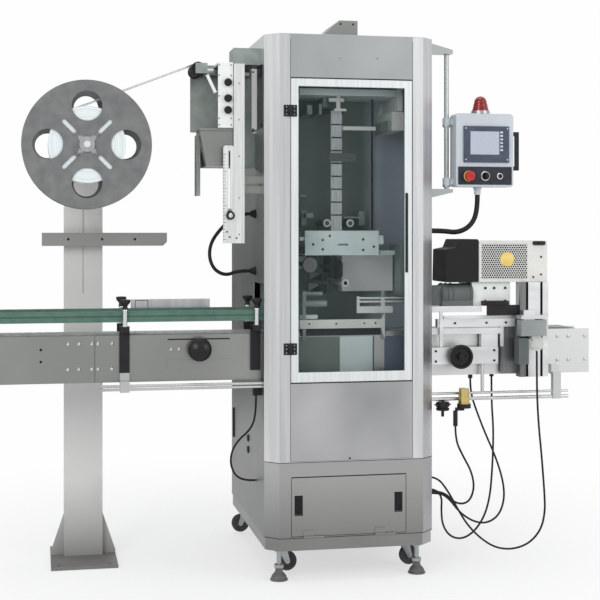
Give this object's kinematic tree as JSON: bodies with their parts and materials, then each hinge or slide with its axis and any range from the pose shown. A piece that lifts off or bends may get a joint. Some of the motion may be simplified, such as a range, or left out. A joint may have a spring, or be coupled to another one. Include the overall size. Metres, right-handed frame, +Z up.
{
  "type": "sleeve labelling machine",
  "caption": "Film sleeve labelling machine: stainless cabinet with glazed door, slat conveyor through it, film reel on a stand, operator panel on a swing pole and an outfeed unit",
  "frame": {"origin": "on the floor under the middle of the machine's bounding box", "axes": "X runs with the products along the conveyor, Y points away from the operator, Z points up"},
  "size_m": [2.46, 0.9625, 2.152],
  "materials": {
    "stainless": "satin",
    "door_aluminium": "satin",
    "tinted_glass": "polished",
    "smoked_plastic": "gloss",
    "black_plastic": "matte",
    "latch_metal": "polished",
    "foot_plastic": "matte",
    "zinc_steel": "satin",
    "wheel_rubber": "matte",
    "chain_plastic": "matte",
    "rail_green": "matte",
    "knob_black": "gloss",
    "stand_paint": "satin",
    "disc_grey": "satin",
    "film_white": "satin",
    "plate_white": "satin",
    "roller_black": "matte",
    "panel_grey": "satin",
    "bezel_dark": "satin",
    "screen": "gloss",
    "stop_red": "gloss",
    "lens_red": "gloss",
    "bright_steel": "polished",
    "unit_aluminium": "satin",
    "motor_grey": "satin",
    "hood_black": "satin",
    "guard_grey": "satin",
    "cable_rubber": "matte"
  },
  "bodies": {
    "machine": {"plinth": "stainless", "base_cabinet": "stainless", "cabinet_shell": "stainless", "front_panels": "stainless", "side_window": "smoked_plastic", "cabinet_fittings": "black_plastic", "levelling_feet": "foot_plastic", "conveyor_frame": "stainless", "slat_chain": "chain_plastic", "guide_rails": "rail_green", "rail_brackets": "black_plastic", "tie_rods": "stainless", "reel_stand": "stand_paint", "tray_bar": "stand_paint", "feeder_box": "stainless", "feeder_plates": "plate_white", "film": "film_white", "hmi_pole": "stainless", "unit_frame": "unit_aluminium", "unit_column": "unit_aluminium", "unit_motors": "motor_grey", "unit_hood": "hood_black", "unit_fittings": "black_plastic", "inner_frame": "stainless", "mandrel": "bright_steel", "cutter_head": "unit_aluminium", "hmi_hose": "cable_rubber", "hose_left": "cable_rubber", "cable_a": "cable_rubber", "cable_b": "cable_rubber", "cable_c": "cable_rubber", "cable_d": "cable_rubber", "side_cable": "cable_rubber"},
    "door": {"door_frame": "door_aluminium", "door_glass": "tinted_glass", "door_fittings": "black_plastic"},
    "base_door": {"base_door": "stainless"},
    "latch_left": {"latch_left": "latch_metal"},
    "latch_right": {"latch_right": "latch_metal"},
    "reel": {"reel": "disc_grey", "film_roll": "film_white"},
    "entry_roller": {"entry_roller": "roller_black"},
    "conveyor_knob": {"conveyor_knob": "knob_black"},
    "handwheel": {"handwheel": "knob_black"},
    "feed_wheel": {"feed_wheel": "roller_black"},
    "unit_guard": {"unit_guard": "guard_grey"},
    "hmi": {"hmi_box": "panel_grey", "hmi_panel": "bezel_dark", "hmi_screen": "screen", "beacon": "lens_red"},
    "emergency_stop": {"emergency_stop": "stop_red"},
    "selector": {"selector": "bright_steel"},
    "caster_fork_front_left": {"caster_fork_front_left": "zinc_steel"},
    "caster_wheel_front_left": {"caster_wheel_front_left": "wheel_rubber"},
    "caster_fork_front_right": {"caster_fork_front_right": "zinc_steel"},
    "caster_wheel_front_right": {"caster_wheel_front_right": "wheel_rubber"},
    "caster_fork_rear_left": {"caster_fork_rear_left": "zinc_steel"},
    "caster_wheel_rear_left": {"caster_wheel_rear_left": "wheel_rubber"},
    "caster_fork_rear_right": {"caster_fork_rear_right": "zinc_steel"},
    "caster_wheel_rear_right": {"caster_wheel_rear_right": "wheel_rubber"}
  },
  "joints": [
    {"name": "door_hinge", "type": "hinge", "parent": "machine", "child": "door", "pos_m": [-0.019, -0.4755, 1.337], "axis": [0, 0, 1], "range_deg": [-110, 0]},
    {"name": "base_door_hinge", "type": "hinge", "parent": "machine", "child": "base_door", "pos_m": [0.2095, -0.4729, 0.173], "axis": [1, 0, 0], "range_deg": [0, 90]},
    {"name": "latch_left_pivot", "type": "hinge", "parent": "base_door", "child": "latch_left", "pos_m": [0.013, -0.4625, 0.325], "axis": [1, 0, 0], "range_deg": [-40, 0]},
    {"name": "latch_right_pivot", "type": "hinge", "parent": "base_door", "child": "latch_right", "pos_m": [0.404, -0.4625, 0.325], "axis": [1, 0, 0], "range_deg": [-40, 0]},
    {"name": "swivel_front_left", "type": "hinge", "parent": "machine", "child": "caster_fork_front_left", "pos_m": [-0.026, -0.2985, 0.11], "axis": [0, 0, 1], "continuous": true},
    {"name": "wheel_front_left", "type": "hinge", "parent": "caster_fork_front_left", "child": "caster_wheel_front_left", "pos_m": [-0.001, -0.2985, 0.0455], "axis": [0, 1, 0], "continuous": true},
    {"name": "swivel_front_right", "type": "hinge", "parent": "machine", "child": "caster_fork_front_right", "pos_m": [0.468, -0.2985, 0.11], "axis": [0, 0, 1], "continuous": true},
    {"name": "wheel_front_right", "type": "hinge", "parent": "caster_fork_front_right", "child": "caster_wheel_front_right", "pos_m": [0.493, -0.2985, 0.0455], "axis": [0, 1, 0], "continuous": true},
    {"name": "swivel_rear_left", "type": "hinge", "parent": "machine", "child": "caster_fork_rear_left", "pos_m": [-0.054, 0.3935, 0.11], "axis": [0, 0, 1], "continuous": true},
    {"name": "wheel_rear_left", "type": "hinge", "parent": "caster_fork_rear_left", "child": "caster_wheel_rear_left", "pos_m": [-0.079, 0.3935, 0.0455], "axis": [0, 1, 0], "continuous": true},
    {"name": "swivel_rear_right", "type": "hinge", "parent": "machine", "child": "caster_fork_rear_right", "pos_m": [0.496, 0.3935, 0.11], "axis": [0, 0, 1], "continuous": true},
    {"name": "wheel_rear_right", "type": "hinge", "parent": "caster_fork_rear_right", "child": "caster_wheel_rear_right", "pos_m": [0.471, 0.3935, 0.0455], "axis": [0, 1, 0], "continuous": true},
    {"name": "reel_spin", "type": "hinge", "parent": "machine", "child": "reel", "pos_m": [-0.774, -0.2885, 1.659], "axis": [0, 1, 0], "continuous": true},
    {"name": "entry_roller_spin", "type": "hinge", "parent": "machine", "child": "entry_roller", "pos_m": [-0.355, -0.2885, 1.954], "axis": [0, 1, 0], "continuous": true},
    {"name": "conveyor_knob_turn", "type": "hinge", "parent": "machine", "child": "conveyor_knob", "pos_m": [-0.353, -0.3885, 0.883], "axis": [0, 1, 0], "continuous": true},
    {"name": "handwheel_turn", "type": "hinge", "parent": "machine", "child": "handwheel", "pos_m": [0.668, -0.4235, 0.841], "axis": [0, 1, 0], "continuous": true},
    {"name": "feed_wheel_spin", "type": "hinge", "parent": "machine", "child": "feed_wheel", "pos_m": [0.077, -0.2685, 1.201], "axis": [0, 1, 0], "continuous": true},
    {"name": "guard_hinge", "type": "hinge", "parent": "machine", "child": "unit_guard", "pos_m": [0.821, -0.2125, 1.131], "axis": [1, 0, 0], "range_deg": [-90, 0]},
    {"name": "panel_swing", "type": "hinge", "parent": "machine", "child": "hmi", "pos_m": [0.641, -0.3285, 1.65], "axis": [0, 0, 1], "range_deg": [-90, 90]},
    {"name": "stop_press", "type": "slide", "parent": "hmi", "child": "emergency_stop", "axis": [0, 1, 0], "range_m": [0, 0.006], "stiffness_N_per_m": 600},
    {"name": "selector_turn", "type": "hinge", "parent": "hmi", "child": "selector", "pos_m": [0.786, -0.3885, 1.551], "axis": [0, 1, 0], "range_deg": [-45, 45]}
  ]
}
